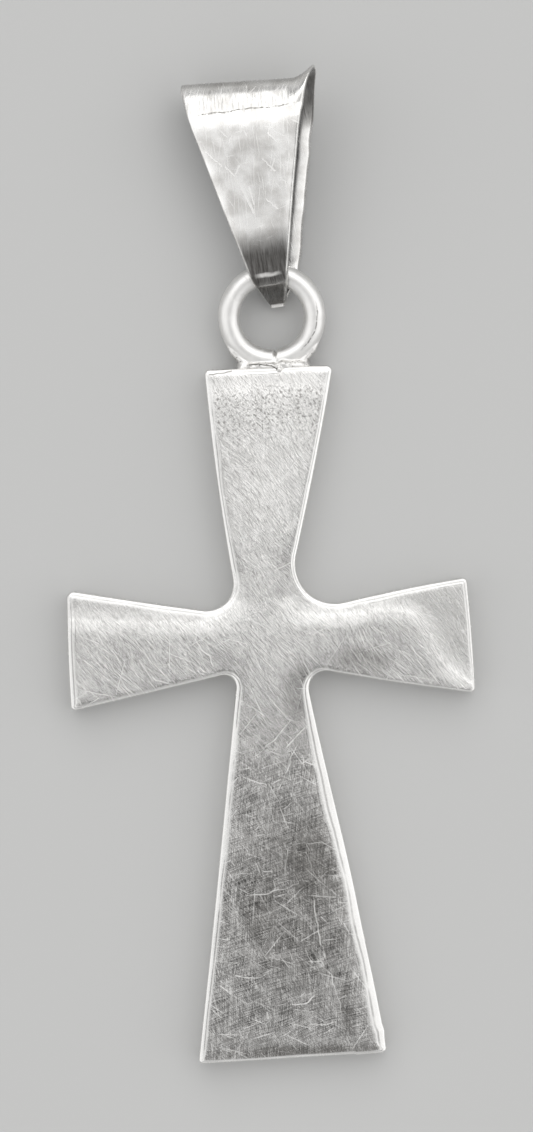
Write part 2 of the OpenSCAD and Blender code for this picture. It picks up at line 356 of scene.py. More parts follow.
# The material reads how far across the rim a place lies, 0 at the edge and 1 where the rim ends,
# and how unrubbed it is.
plate_mesh = bpy.data.meshes.new("cross_plate")
plate_mesh.from_pydata(verts.tolist(), [], faces)
across_rim, unrubbed = np.zeros(len(verts)), np.zeros(len(verts))
across_rim[:count] = EDGE / rims
across_rim[front_start:back_start] = field[:, 2] / rims[places]
unrubbed[:count] = top_strips
unrubbed[front_start:back_start] = strips
note(plate_mesh, "across_rim", across_rim)
note(plate_mesh, "unrubbed", unrubbed)
shaper = bmesh.new()
shaper.from_mesh(plate_mesh)
inner = [v for v in shaper.verts if front_start <= v.index < back_start]
for _ in range(2):
    bmesh.ops.smooth_vert(shaper, verts=inner, factor=0.5, use_axis_z=True)
bmesh.ops.recalc_face_normals(shaper, faces=shaper.faces)
shaper.to_mesh(plate_mesh)
shaper.free()
plate_mesh.transform(to_crossing)
plate_mesh.shade_smooth()
plate = put("cross_plate", plate_mesh)


def linear(code):
    """An sRGB hex colour as linear red, green, blue and alpha."""
    parts = [int(code[i:i + 2], 16) / 255 for i in (1, 3, 5)]
    return (*(p / 12.92 if p <= 0.04045 else ((p + 0.055) / 1.055) ** 2.4 for p in parts), 1)


def add(tree, kind, inputs=None, **settings):
    """Adds a node with its settings. An input takes a value, an output, or a node's first output."""
    node = tree.nodes.new(kind)
    for name, value in settings.items():
        setattr(node, name, value)
    for name, value in (inputs or {}).items():
        if isinstance(value, bpy.types.Node):
            value = value.outputs[0]
        if isinstance(value, bpy.types.NodeSocket):
            tree.links.new(value, node.inputs[name])
        else:
            node.inputs[name].default_value = value
    return node


def combined(tree, operation, parts):
    """Several outputs brought to one, each by the same operation on the last result."""
    total = parts[0]
    for part in parts[1:]:
        total = add(tree, "ShaderNodeMath", {0: total, 1: part}, operation=operation)
    return total


def summed(tree, parts, total=0.0):
    """A total with each part added to it, times its weight."""
    for part, weight in parts:
        total = add(tree, "ShaderNodeMath", {0: part, 1: weight, 2: total}, operation="MULTIPLY_ADD")
    return total


def soft_band(tree, off, full, none, force=1.0):
    """force where a value lies within full of zero, fading to nothing at none from it."""
    off = add(tree, "ShaderNodeMath", {0: off}, operation="ABSOLUTE")
    return add(tree, "ShaderNodeMapRange", {"Value": off, "From Min": full, "From Max": none,
               "To Min": force, "To Max": 0.0}, interpolation_type="SMOOTHSTEP")


def tinted(tree, shade, parts):
    """A colour drawn towards each hex colour in turn, by the share before it."""
    for share, code in parts:
        shade = add(tree, "ShaderNodeMix", {"Factor": share, "A": shade, "B": linear(code)},
                    data_type="RGBA").outputs["Result"]
    return shade


def new_finish(name):
    """An empty material and its tree."""
    finish = bpy.data.materials.new(name)
    finish.use_nodes = True
    finish.node_tree.nodes.clear()
    return finish, finish.node_tree


def in_mm(tree):
    """The place on a piece in mm."""
    spot = add(tree, "ShaderNodeTexCoord").outputs["Object"]
    return add(tree, "ShaderNodeVectorMath", {0: spot, "Scale": 1 / MM}, operation="SCALE")


def bare_metal(tree, shade, rough, relief):
    """Ends a finish as bare metal, with its relief given in micrometres."""
    bump = add(tree, "ShaderNodeBump", {"Height": relief, "Distance": 0.001 * MM, "Strength": 1.0})
    surface = add(tree, "ShaderNodeBsdfPrincipled", {
        "Base Color": shade, "Metallic": 1.0, "Roughness": rough, "Normal": bump})
    add(tree, "ShaderNodeOutputMaterial", {"Surface": surface})


# Hairlines lie one to a cell. angle is the way they run in degrees, lean how far each may turn
# from it, and the rest are mm, with the depth in micrometres. zone tells where they lie: all over,
# above the crossing's foot, where a cloth rubbed one way, or below it. Real hairlines are about
# 0.02 mm wide, and all marks here are drawn coarser so that they show.
Hairline = namedtuple("Hairline", "angle lean length spacing width depth zone")


def hairlines(tree, place, rows, zones):
    """Depth of a field of hairlines at a place given in mm, as a node's output."""
    fields = []
    for row in rows:
        grid = add(tree, "ShaderNodeMapping", {
            "Vector": place, "Location": (row.angle * 0.37, row.length * 5.1, 0),
            "Rotation": (0, 0, math.radians(row.angle)), "Scale": (row.length, row.spacing, 1),
        }, vector_type="TEXTURE")
        cell = add(tree, "ShaderNodeTexVoronoi", {"Vector": grid, "Scale": 1.0},
                   voronoi_dimensions="2D")
        chance = add(tree, "ShaderNodeSeparateColor", {0: cell.outputs["Color"]}).outputs
        away = add(tree, "ShaderNodeVectorMath", {0: grid, 1: cell.outputs["Position"]},
                   operation="SUBTRACT")
        away = add(tree, "ShaderNodeVectorMath", {0: away, 1: (row.length, row.spacing, 0)},
                   operation="MULTIPLY")
        turn = math.radians(row.lean)
        lean = add(tree, "ShaderNodeMapRange", {"Value": chance[0], "To Min": -turn, "To Max": turn})
        away = add(tree, "ShaderNodeVectorRotate", {"Vector": away, "Angle": lean},
                   rotation_type="Z_AXIS")
        part = add(tree, "ShaderNodeSeparateXYZ", {0: away}).outputs
        run = add(tree, "ShaderNodeMath", {0: part["X"]}, operation="ABSOLUTE")
        ends = add(tree, "ShaderNodeMapRange", {"Value": run, "From Min": row.length * 0.15,
                   "From Max": row.length * 0.5, "To Min": 1.0, "To Max": 0.0})
        force = add(tree, "ShaderNodeMapRange", {"Value": chance[1], "From Min": 0.1})
        parts = [soft_band(tree, part["Y"], 0.0, row.width, row.depth), ends, force]
        if row.zone in zones:
            parts.append(zones[row.zone])
        fields.append(combined(tree, "MULTIPLY", parts))
    return combined(tree, "ADD", fields)


# Single scratches, each a line through its points in mm from the crossing, with its half width
# in mm and its depth in micrometres
Scratch = namedtuple("Scratch", "width depth points")
SCRATCHES = (
    Scratch(0.045, 2.6, ((-5.0, 0.7), (-5.2, 0.1), (-4.9, -0.5), (-4.4, -1.0), (-4.2, -1.6))),
    Scratch(0.038, 2.0, ((-5.9, -0.1), (-4.7, -2.0))),
    Scratch(0.042, 2.2, ((1.0, -6.8), (0.4, -8.3), (-0.2, -9.5))),
    Scratch(0.048, 3.0, ((-2.6, -16.4), (-1.1, -16.2), (0.7, -15.7))),
    Scratch(0.045, 3.0, ((-3.5, -21.4), (-3.0, -21.6), (-2.4, -21.5), (-1.9, -21.6), (-1.6, -21.4))),
    Scratch(0.055, 3.6, ((0.1, -23.4), (0.8, -23.3), (1.5, -23.0))),
    Scratch(0.045, 2.4, ((1.2, -20.6), (2.0, -20.6), (2.6, -21.6), (3.0, -23.0), (3.2, -24.2))),
    Scratch(0.060, 2.8, ((1.6, -16.4), (1.8, -18.0), (2.2, -20.4))),
    Scratch(0.042, 2.6, ((0.5, -13.2), (1.5, -13.1), (2.4, -13.2))),
    Scratch(0.045, 2.8, ((-2.4, -3.9), (-1.0, -4.9))),
    Scratch(0.042, 2.2, ((-2.5, -8.8), (-1.1, -9.4))),
    Scratch(0.038, 1.8, ((-1.7, -7.5), (-0.2, -6.3))),
    Scratch(0.042, 2.0, ((0.7, -19.4), (2.0, -18.7))),
    Scratch(0.042, 2.0, ((1.4, -24.9), (2.2, -24.7), (2.8, -24.6))),
    Scratch(0.038, 1.8, ((-4.5, -22.0), (-2.9, -23.2))),
    Scratch(0.038, 1.6, ((1.1, -12.9), (1.5, -14.2), (2.7, -17.1), (3.4, -18.4))),
    Scratch(0.038, 1.8, ((-8.1, 1.0), (-4.7, -2.2))),
    Scratch(0.042, 2.2, ((0.7, 13.4), (1.9, 11.5), (2.3, 10.7))),
    Scratch(0.045, 2.4, ((-0.4, 11.1), (0.5, 9.9))),
    Scratch(0.042, 2.0, ((-0.7, 8.9), (0.7, 7.6))),
    Scratch(0.042, 2.2, ((-3.2, 12.8), (-2.1, 10.7))),
    Scratch(0.042, 2.2, ((-1.9, 15.5), (-0.5, 13.2))),
)


def scratches(tree, place, rows):
    """Depth of single scratches at a place given in mm, as a node's output."""
    grooves = []
    for row in rows:
        gaps = []
        for start, end in zip(row.points, row.points[1:]):
            length = math.dist(start, end)
            way = ((end[0] - start[0]) / length, (end[1] - start[1]) / length, 0)
            away = add(tree, "ShaderNodeVectorMath", {0: place, 1: (*start, 0)}, operation="SUBTRACT")
            run = add(tree, "ShaderNodeVectorMath", {0: away, 1: way}, operation="DOT_PRODUCT")
            run = add(tree, "ShaderNodeClamp", {"Value": run.outputs["Value"], "Max": length})
            foot = add(tree, "ShaderNodeVectorMath", {0: way, "Scale": run}, operation="SCALE")
            gap = add(tree, "ShaderNodeVectorMath", {0: away, 1: foot}, operation="DISTANCE")
            gaps.append(gap.outputs["Value"])
        nearest = combined(tree, "MINIMUM", gaps)
        grooves.append(add(tree, "ShaderNodeMapRange", {
            "Value": nearest, "From Max": row.width, "To Min": row.depth, "To Max": 0.0,
        }, interpolation_type="SMOOTHSTEP"))
    return combined(tree, "ADD", grooves)


# Cast sterling silver, wheel polished and then worn: bright and neutral, with a soft sheen of
# hairlines that scatter the light, bright rubbed rims, and a dull mottled strip where no cloth
# has reached. Straight marks run through a place that is bent a little, so that none is ruled.
silver, tree = new_finish("worn_cast_silver")
mm = add(tree, "ShaderNodeVectorMath", {0: in_mm(tree), 1: (*crossing, 0)}, operation="SUBTRACT")
flat = add(tree, "ShaderNodeVectorMath", {0: mm, 1: (1, 1, 0)}, operation="MULTIPLY")
bend = add(tree, "ShaderNodeTexNoise", {"Vector": mm, "Scale": 0.25, "Detail": 0.0}).outputs["Color"]
bent = add(tree, "ShaderNodeVectorMath", {0: bend, 1: (0.7, 0.7, 0), 2: flat},
           operation="MULTIPLY_ADD")
patches = add(tree, "ShaderNodeTexNoise", {"Vector": flat, "Scale": 1.1, "Detail": 1.0},
              noise_dimensions="2D").outputs["Color"]
wobble = add(tree, "ShaderNodeVectorMath", {0: patches, 1: (0.5, 0.5, 0.5)}, operation="SUBTRACT")
wobble = add(tree, "ShaderNodeVectorMath", {0: wobble, 1: (0.35, 0.35, 0)}, operation="MULTIPLY")
wobbled = add(tree, "ShaderNodeVectorMath", {0: flat, 1: wobble}, operation="ADD")
patches = add(tree, "ShaderNodeSeparateColor", {0: patches}).outputs
level = add(tree, "ShaderNodeSeparateXYZ", {0: bent}).outputs["Y"]
above = add(tree, "ShaderNodeMapRange", {"Value": level, "From Min": -8.0, "From Max": -1.0})
below = add(tree, "ShaderNodeMapRange", {"Value": level, "From Min": -2.5, "From Max": -8.0})
RUBBED = (
    Hairline(-54, 18, 1.4, 0.30, 0.042, 2.2, "above"),
    Hairline(-24, 70, 1.3, 0.50, 0.042, 2.0, "below"),
    Hairline(-36, 30, 2.8, 0.95, 0.045, 1.9, "all"),
    Hairline(66, 60, 3.2, 1.20, 0.045, 1.9, "all"),
)
fine = hairlines(tree, bent, RUBBED, {"above": above, "below": below})

# Each single scratch is pressed in harder in some places than in others
pressed = add(tree, "ShaderNodeMapRange", {"Value": patches["Blue"], "From Min": 0.38,
              "From Max": 0.58, "To Min": 0.35, "To Max": 1.0})
scored = summed(tree, [(scratches(tree, wobbled, SCRATCHES), pressed)], fine)
marked = add(tree, "ShaderNodeMapRange", {"Value": scored, "From Max": 2.0})

# The finest wear is a hatch of streaks crossed at several angles, each streak with a thin scratch
# along its flanks, drawn coarser than the real ones. Each row has its angle in degrees, the length
# and width of a streak in mm, how strong it is above the crossing's foot and below it, and the
# patches in which it is stronger.
Hatch = namedtuple("Hatch", "angle length width above below patch")
HATCHES = (
    Hatch(-48, 1.7, 0.08, 0.9, 0.60, "Red"),
    Hatch(-66, 1.5, 0.085, 0.8, 0.75, "Green"),
    Hatch(84, 2.6, 0.085, 0.5, 1.00, "Blue"),
    Hatch(17, 2.0, 0.085, 0.3, 0.80, "Red"),
)
streaks, threads = [], []
for row in HATCHES:
    place = add(tree, "ShaderNodeMapping", {
        "Vector": bent, "Location": (row.angle, 0, 0), "Rotation": (0, 0, math.radians(row.angle)),
        "Scale": (row.length, row.width, 1),
    }, vector_type="TEXTURE")
    streak = add(tree, "ShaderNodeTexNoise", {"Vector": place, "Scale": 1.0, "Detail": 1.0},
                 noise_dimensions="2D")
    streak = add(tree, "ShaderNodeMath", {0: streak, 1: 0.5}, operation="SUBTRACT")
    zone = add(tree, "ShaderNodeMapRange", {"Value": below, "To Min": row.above, "To Max": row.below})
    patch = add(tree, "ShaderNodeMapRange", {"Value": patches[row.patch], "From Min": 0.4,
                "From Max": 0.56, "To Min": 0.82, "To Max": 1.0})
    force = combined(tree, "MULTIPLY", [zone, patch])
    streaks.append((streak, force))
    threads.append((soft_band(tree, streak, 0.0, 0.085), force))
streaks, threads = summed(tree, streaks), summed(tree, threads)
dull = add(tree, "ShaderNodeTexNoise", {"Vector": mm, "Scale": 0.28, "Detail": 3.0, "Roughness": 0.6})
grain = add(tree, "ShaderNodeTexNoise", {"Vector": mm, "Scale": 5.5, "Detail": 2.0, "Roughness": 0.65})
strip = add(tree, "ShaderNodeAttribute", attribute_name="unrubbed").outputs["Fac"]
rim = add(tree, "ShaderNodeAttribute", attribute_name="across_rim").outputs["Fac"]

# The rim's facets meet in lines: a fine groove runs along it, and a second one in its wide parts.
# Each is cut in by the relief and also painted darker, a painted shade in the crease.
grooves = []
for share, wide, least in ((0.62, 0.14, 0.40), (1.12, 0.10, 0.52)):
    off = summed(tree, [(dull, 0.24)], rim)
    off = add(tree, "ShaderNodeMath", {0: off, 1: share + 0.12}, operation="SUBTRACT")
    seen = add(tree, "ShaderNodeMapRange", {"Value": dull, "From Min": least, "From Max": least + 0.12})
    grooves.append((soft_band(tree, off, 0.0, wide), seen))
groove = summed(tree, grooves)

# Grime darkens the threads above the crossing's foot. Below it, painted shade darkens the metal
# between them, so that the lower arm comes out darker. Neither reaches the single scratches.
grime_and_shade = add(tree, "ShaderNodeMapRange", {"Value": threads, "From Min": 0.2, "From Max": 2.2,
            "To Max": 0.82})
lower_arm_shade = add(tree, "ShaderNodeMapRange", {"Value": threads, "From Min": 0.2, "From Max": 2.2,
           "To Min": 0.78, "To Max": 0.0})
unmarked = add(tree, "ShaderNodeMath", {0: 1.0, 1: marked}, operation="SUBTRACT")
grime_and_shade = combined(tree, "MULTIPLY", [summed(tree, [(grime_and_shade, above), (lower_arm_shade, below)]), unmarked])

# Soft patches of painted shade that darken the lower arm, its end and the metal by the crossing:
# the middle of each in mm from the crossing, its half length and half width, and how strong it is
ShadePatch = namedtuple("ShadePatch", "x y wide high force")
SHADE_PATCHES = (
    ShadePatch(5.3, -1.6, 2.6, 1.3, 0.45),
    ShadePatch(1.2, -3.4, 1.5, 2.8, 0.38),
    ShadePatch(1.5, -14.3, 2.4, 3.4, 0.30),
    ShadePatch(3.5, -24.0, 0.8, 2.6, 0.30),
    ShadePatch(-2.0, -17.8, 1.6, 2.4, 0.16),
    ShadePatch(0.8, -26.4, 7.0, 0.6, 0.45),
    ShadePatch(0.6, -16.5, 5.5, 9.5, 0.26),
)
grime_and_shade_parts = [grime_and_shade]
for row in SHADE_PATCHES:
    away = add(tree, "ShaderNodeVectorMath", {0: wobbled, 1: (row.x, row.y, 0)}, operation="SUBTRACT")
    away = add(tree, "ShaderNodeVectorMath", {0: away, 1: (row.wide, row.high, 1)}, operation="DIVIDE")
    away = add(tree, "ShaderNodeVectorMath", {0: away}, operation="LENGTH").outputs["Value"]
    grime_and_shade_parts.append(add(tree, "ShaderNodeMapRange", {
        "Value": away, "From Min": 0.25, "To Min": row.force, "To Max": 0.0,
    }, interpolation_type="SMOOTHSTEP"))

# Pits of the casting are left under the top edge, and a short crack in the left half of the edge
PITS_FROM, PITS_TO = (11.8, 14.6), (16.6, 16.0)
pits = [add(tree, "ShaderNodeMapRange", {"Value": grain, "From Min": 0.52, "From Max": 0.64,
            "To Max": 0.65})]
for none, full in (PITS_FROM, PITS_TO):
    pits.append(add(tree, "ShaderNodeMapRange", {"Value": level, "From Min": none, "From Max": full}))
grime_and_shade_parts.append(combined(tree, "MULTIPLY", pits))
TOP_CRACK = (Scratch(0.075, 1.0, ((-3.65, 16.95), (-2.9, 17.03), (-2.2, 17.1))),)
inner = add(tree, "ShaderNodeMapRange", {"Value": rim, "From Min": 0.8, "From Max": 1.2})
grime_and_shade = summed(tree, [(combined(tree, "ADD", grime_and_shade_parts), inner)], scratches(tree, wobbled, TOP_CRACK))
mottle = combined(tree, "MULTIPLY", [grain, strip])
# The colour darkens by a random dull tone, the unrubbed strip's mottle, the grooves' painted shade, and
# the grime, pits, crack and painted shade inside the rim
shade = tinted(tree, linear("#F7F6F4"), (
    (dull, "#DFDEDC"), (mottle, "#D6D5D3"), (groove, "#BDBCBA"), (grime_and_shade, "#8F8D8A")))
rough = add(tree, "ShaderNodeMapRange", {"Value": threads, "From Min": 0.2, "From Max": 2.4,
            "To Min": 0.08, "To Max": 0.36})
rough = summed(tree, [(strip, 0.12), (marked, 0.28)], rough)
calm = add(tree, "ShaderNodeMapRange", {"Value": rim, "From Min": 0.8, "From Max": 1.3,
           "To Min": 0.35, "To Max": 1.0})
rise = add(tree, "ShaderNodeMapRange", {"Value": strip, "To Min": 0.9, "To Max": 3.6})
relief = summed(tree, [(streaks, -2.55), (threads, -1.95), (grain, rise), (scored, -1.0)])
relief = summed(tree, [(groove, -6.0)], combined(tree, "MULTIPLY", [relief, calm]))
bare_metal(tree, shade, rough, relief)
plate_mesh.materials.append(silver)
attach(plate, "root")
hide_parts("cross")

# The ring and its solder
# Round silver wire bent to a ring, its ends meeting at the foot, and soldered to the plate's top
# edge. A web of solder climbs both its sides, and crumbs of it have spilled on to the plate.
RING_FOOT = (0.45, 17.83, PLATE_T / 2)
RING_R = 2.75
WIRE_R = 0.68
RING_TILT = 7.8
TOP_EDGE = -0.53
WEB_HALF = 0.34
FUSE_STEP = 0.05

# Places of beads from the ring's foot, in mm, and their radii. The flank's run down one side of the
# web, from where it climbs the wire to its toe on the plate, and the ridges' lie across its front.
# Beads in a run stand BEAD_STEP of the smaller radius apart.
Bead = namedtuple("Bead", "x y z radius")
FLANK = (
    Bead(3.05, 1.45, 0.12, 0.12),
    Bead(2.54, 0.62, 0.26, 0.25),
    Bead(1.86, -0.13, 0.36, 0.27),
    Bead(2.02, TOP_EDGE, 0.40, 0.34),
)
CORE = (Bead(-1.8, -0.40, 0.15, 0.52), Bead(1.8, -0.40, 0.15, 0.52))
RIDGES = (
    (Bead(-1.50, TOP_EDGE + 0.16, 0.62, 0.26), Bead(-0.05, TOP_EDGE + 0.10, 0.72, 0.34)),
    (Bead(0.60, TOP_EDGE + 0.16, 0.70, 0.36), Bead(1.75, TOP_EDGE + 0.14, 0.60, 0.30)),
)
DROP = Bead(0.34, TOP_EDGE - 0.04, 1.00, 0.22)
CRUMBS = 14
BEAD_STEP = 0.3


def sized_tree(name, sizes):
    """A tree of geometry nodes with a number input for each size, and its input node's outputs."""
    tree = bpy.data.node_groups.new(name, "GeometryNodeTree")
    tree.interface.new_socket("Geometry", in_out="OUTPUT", socket_type="NodeSocketGeometry")
    tree.interface.new_socket("Geometry", in_out="INPUT", socket_type="NodeSocketGeometry")
    for size in sizes:
        tree.interface.new_socket(size, in_out="INPUT", socket_type="NodeSocketFloat")
    return tree, tree.nodes.new("NodeGroupInput").outputs


def plain(thing):
    """An object's mesh with its modifiers applied."""
    return bpy.data.meshes.new_from_object(thing.evaluated_get(bpy.context.evaluated_depsgraph_get()))


def grown(tree, base, sizes):
    """The plain mesh that a tree makes from a base mesh and its sizes."""
    host = put(tree.name, base)
    modifier = host.modifiers.new(tree.name, "NODES")
    modifier.node_group = tree
    for socket in tree.interface.items_tree:
        if socket.in_out == "INPUT" and socket.name in sizes:
            modifier[socket.identifier] = sizes[socket.name]
    made = plain(host)
    bpy.data.objects.remove(host)
    return made


def spots_of(mesh):
    """The places of a mesh's vertices, one to a row."""
    spots = np.empty(len(mesh.vertices) * 3, np.float32)
    mesh.vertices.foreach_get("co", spots)
    return spots.reshape(-1, 3).astype(float)


# Silver wire with solder on it: the same silver, greyer and pitted where solder has flowed
soldered, tree = new_finish("silver_wire_and_solder")
mm = in_mm(tree)
flow = add(tree, "ShaderNodeAttribute", attribute_name="soldered").outputs["Fac"]
cloud = add(tree, "ShaderNodeTexNoise", {"Vector": mm, "Scale": 1.1, "Detail": 3.0})
grain = add(tree, "ShaderNodeTexNoise", {"Vector": mm, "Scale": 5.0, "Detail": 3.0, "Roughness": 0.6})
pits = add(tree, "ShaderNodeTexVoronoi", {"Vector": mm, "Scale": 4.5}).outputs["Distance"]
pits = add(tree, "ShaderNodeMapRange", {"Value": pits, "From Min": 0.08, "From Max": 0.24,
           "To Min": 1.0, "To Max": 0.0}, interpolation_type="SMOOTHSTEP")
pits = combined(tree, "MULTIPLY", [pits, flow])

# A line of pits left by the bending runs along the wire on its right, a little outside its middle
ring_middle = (*(crossing + (RING_FOOT[0], RING_FOOT[1] + RING_R)), 0)
from_ring = add(tree, "ShaderNodeVectorMath", {0: mm, 1: ring_middle}, operation="SUBTRACT")
from_ring = add(tree, "ShaderNodeVectorMath", {0: from_ring, 1: (1, 1, 0)}, operation="MULTIPLY")
part = add(tree, "ShaderNodeSeparateXYZ", {0: from_ring}).outputs
reach = add(tree, "ShaderNodeVectorMath", {0: from_ring}, operation="LENGTH").outputs["Value"]
reach = summed(tree, [(cloud, 0.3)], reach)
reach = add(tree, "ShaderNodeMath", {0: reach, 1: RING_R + 0.28}, operation="SUBTRACT")
low = add(tree, "ShaderNodeMapRange", {"Value": part["Y"], "From Min": 0.9, "From Max": 0.3})
right = add(tree, "ShaderNodeMapRange", {"Value": part["X"], "From Min": 1.7, "From Max": 2.2})
gaps = add(tree, "ShaderNodeMapRange", {"Value": grain, "From Min": 0.36, "From Max": 0.52,
           "To Max": 0.7})
row = combined(tree, "MULTIPLY", [soft_band(tree, reach, 0.01, 0.07), low, right, gaps])

# The crack along the solder's left half, in mm from the middle of the ring
CRACK = (Scratch(0.070, 1.0, ((-1.55, -3.08), (-1.0, -3.05), (-0.55, -3.14), (-0.1, -3.22),
                              (0.2, -3.42))),)
pitted = combined(tree, "MAXIMUM", [pits, row, scratches(tree, from_ring, CRACK)])
WIRE_MARKS = (
    Hairline(70, 50, 1.1, 0.35, 0.045, 1.2, "all"),
    Hairline(-20, 60, 1.3, 0.50, 0.050, 1.4, "all"),
)
scored = hairlines(tree, mm, WIRE_MARKS, {})
wire_shade = tinted(tree, linear("#F8F7F5"), [(cloud, "#E2E1DF")])
solder_shade = tinted(tree, linear("#F4F3F1"), [(cloud, "#D6D4D1")])
shade = add(tree, "ShaderNodeMix", {"Factor": flow, "A": wire_shade, "B": solder_shade},
            data_type="RGBA").outputs["Result"]
shade = tinted(tree, shade, [(pitted, "#55534F")])
marked = add(tree, "ShaderNodeMapRange", {"Value": scored, "From Max": 1.5, "To Max": 0.22})
rough = add(tree, "ShaderNodeMapRange", {"Value": flow, "To Min": 0.42, "To Max": 0.38})
rough = combined(tree, "ADD", [rough, marked])
bare_metal(tree, shade, rough, summed(tree, [(grain, 3.5), (pitted, -9.0), (scored, -1.0)]))

wire_sizes = {"Ring radius": RING_R, "Wire radius": WIRE_R, "Unevenness": 0.045}
tree, size = sized_tree("bent_wire", wire_sizes)
path = add(tree, "GeometryNodeCurvePrimitiveCircle", {"Radius": size["Ring radius"], "Resolution": 96})
section = add(tree, "GeometryNodeCurvePrimitiveCircle", {"Radius": size["Wire radius"],
              "Resolution": 32})
wire = add(tree, "GeometryNodeCurveToMesh", {"Curve": path, "Profile Curve": section})
dents = add(tree, "ShaderNodeTexNoise", {"Scale": 0.8, "Detail": 1.0}).outputs["Color"]
dents = add(tree, "ShaderNodeVectorMath", {0: dents, 1: (0.5, 0.5, 0.5)}, operation="SUBTRACT")
dents = add(tree, "ShaderNodeVectorMath", {0: dents, "Scale": size["Unevenness"]}, operation="SCALE")
shaped = add(tree, "GeometryNodeSetPosition", {"Geometry": wire, "Offset": dents})
real = add(tree, "GeometryNodeRealizeInstances", {"Geometry": shaped})
finished = add(tree, "GeometryNodeSetMaterial", {"Geometry": real, "Material": soldered})
add(tree, "NodeGroupOutput", {0: finished})
wire_mesh = grown(tree, bpy.data.meshes.new("wire"), wire_sizes)
wire_mesh.transform(Matrix.Translation((0, RING_R, 0)))

solder = bmesh.new()
solder.from_mesh(wire_mesh)
dice = random.Random(11)


def lay_bead(place, radius, fineness=2):
    bmesh.ops.create_icosphere(solder, subdivisions=fineness, radius=radius,
                               matrix=Matrix.Translation(place))


def run_beads(start, end, uneven, side=1):
    """Lays overlapping beads of solder from one bead to another, or their mirror with side -1."""
    first, last = (Vector((side * bead.x, bead.y, bead.z)) for bead in (start, end))
    steps = max(1, math.ceil((last - first).length / (BEAD_STEP * min(start.radius, end.radius))))
    for k in range(steps + 1):
        t = k / steps
        radius = start.radius + (end.radius - start.radius) * t
        lay_bead(first.lerp(last, t), radius * (1 + dice.uniform(-uneven, uneven)))


# The web fills the corner between the wire and the plate's edge, under a round left for the wire
half_web = [(FLANK[-1].x, TOP_EDGE - 0.3), *((bead.x, bead.y) for bead in FLANK[:0:-1])]
hole = [(math.sin(a) * RING_R, RING_R - math.cos(a) * RING_R) for a in np.linspace(0.95, -0.95, 24)]
web = [*half_web, *hole, *((-x, y) for x, y in half_web[::-1])]
low, high = ([solder.verts.new((x, y, z)) for x, y in web] for z in (-WEB_HALF, WEB_HALF))
solder.faces.new(low[::-1])
solder.faces.new(high)
for i, (a, b) in enumerate(zip(low, high)):
    solder.faces.new((a, low[(i + 1) % len(low)], high[(i + 1) % len(high)], b))
for side in (-1, 1):
    for upper, lower in zip(FLANK, FLANK[1:]):
        run_beads(upper, lower, 0.02, side)
run_beads(*CORE, 0.12)
for start, end in RIDGES:
    run_beads(start, end, 0.08)
for _ in range(CRUMBS):
    crumb = (dice.uniform(-1.5, 1.7), dice.uniform(-0.48, -0.2), dice.uniform(0.70, 0.98))
    lay_bead(crumb, dice.uniform(0.08, 0.20))
lay_bead(DROP[:3], DROP.radius, 3)

# Melting the loose shapes into one body
loose = bpy.data.meshes.new("ring_and_solder_loose")
solder.to_mesh(loose)
solder.free()
ring = put("ring_and_solder", loose)
fuse = ring.modifiers.new("fuse", "REMESH")
fuse.mode, fuse.voxel_size = "VOXEL", FUSE_STEP
melt = ring.modifiers.new("melt", "SMOOTH")
melt.factor, melt.iterations = 0.5, 4
ring_mesh = plain(ring)
ring.modifiers.clear()
ring.data = ring_mesh

# The seam where the wire's ends meet: a notch in the ring's inside that runs down the front
SEAM_X, SEAM_LEAN, SEAM_HALF = 0.06, 0.1, 0.15
NOTCH_DEEP, FRONT_DEEP = 0.2, 0.09
spots = spots_of(ring_mesh)
off_wire = np.hypot(np.hypot(spots[:, 0], spots[:, 1] - RING_R) - RING_R, spots[:, 2]) - WIRE_R
off_seam = np.abs(spots[:, 0] - SEAM_X - SEAM_LEAN * spots[:, 1])
seam = np.clip(1 - off_seam / SEAM_HALF, 0, 1)
seam *= np.clip((spots[:, 1] + 0.1) / 0.3, 0, 1) * (spots[:, 1] < RING_R)
spots[:, 1] -= NOTCH_DEEP * seam * np.clip((spots[:, 1] - 0.2) / 0.3, 0, 1)
spots[:, 2] -= FRONT_DEEP * seam * np.sign(spots[:, 2])
ring_mesh.vertices.foreach_set("co", spots.astype(np.float32).ravel())
note(ring_mesh, "soldered", np.maximum(ease((off_wire - 0.01) / 0.08), seam * 0.8))
ring_mesh.transform(to_crossing @ Matrix.Translation(RING_FOOT)
                    @ Matrix.Rotation(math.radians(RING_TILT), 4, "X"))
ring_mesh.shade_smooth()
ring_mesh.materials.clear()
ring_mesh.materials.append(soldered)
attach(ring, "root")
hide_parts("cross")

# The bail
# One strip of rolled silver sheet, wide in the middle and tapered to both ends. It is folded over
# at the wide middle, and its ends are creased down and closed on each other inside the ring.
BAIL_TIP = (1.305, 21.069, 0.177)
BAIL_YAW, BAIL_PITCH, BAIL_ROLL = 6.0, 3.41, 14.0
STRAP_T = 0.45
FOLD = np.array([11.4, 1.9])
FOLD_LONG, FOLD_HIGH = 3.3, 1.9
TIP_W, NECK_W, TOP_W = 0.9, 2.3, 8.35
CREASE = np.array([1.95, 3.17])
TIP = np.array([0.32, 2 * STRAP_T])
CREASE_ROUND = 0.3
CREASE_UP, CREASE_DOWN = 0.34, 0.40
TIP_FLAT = 0.34

